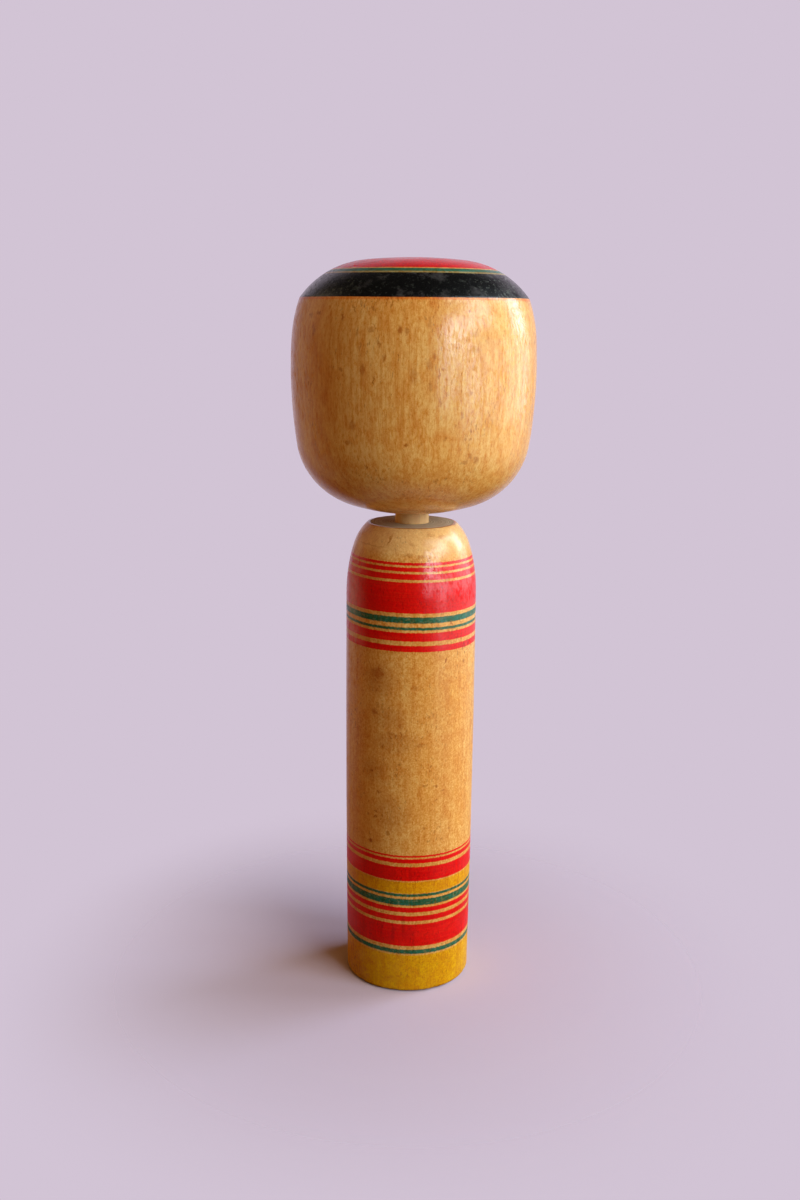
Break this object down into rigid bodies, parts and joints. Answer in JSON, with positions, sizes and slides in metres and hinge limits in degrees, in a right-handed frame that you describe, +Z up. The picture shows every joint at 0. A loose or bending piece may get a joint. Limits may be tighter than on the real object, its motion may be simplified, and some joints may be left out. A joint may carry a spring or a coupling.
{
  "type": "kokeshi doll",
  "caption": "Lathe-turned wooden doll with a slim ringed body and a large rounded head, joined by a neck peg on which the head turns and lifts.",
  "frame": {"origin": "middle of the base, on the surface that the doll stands on", "axes": "+Z up the turning axis, out of the crown; -Y towards the side that the picture shows"},
  "size_m": [0.0782, 0.0782, 0.2424],
  "materials": {
    "varnished_wood": "clear gloss varnish over pale wood, with painted rings in red, green, black and ochre",
    "bare_wood": "unfinished pale wood"
  },
  "bodies": {
    "body": {"body": "varnished_wood"},
    "neck_peg": {"neck_peg": "bare_wood"},
    "head": {"head": "varnished_wood"}
  },
  "joints": [
    {"name": "head_lift", "type": "slide", "parent": "body", "child": "neck_peg", "axis": [0, 0, 1], "range_m": [0, 0.022]},
    {"name": "head_turn", "type": "hinge", "parent": "neck_peg", "child": "head", "pos_m": [0, 0, 0.1622], "axis": [0, 0, 1], "continuous": true}
  ]
}
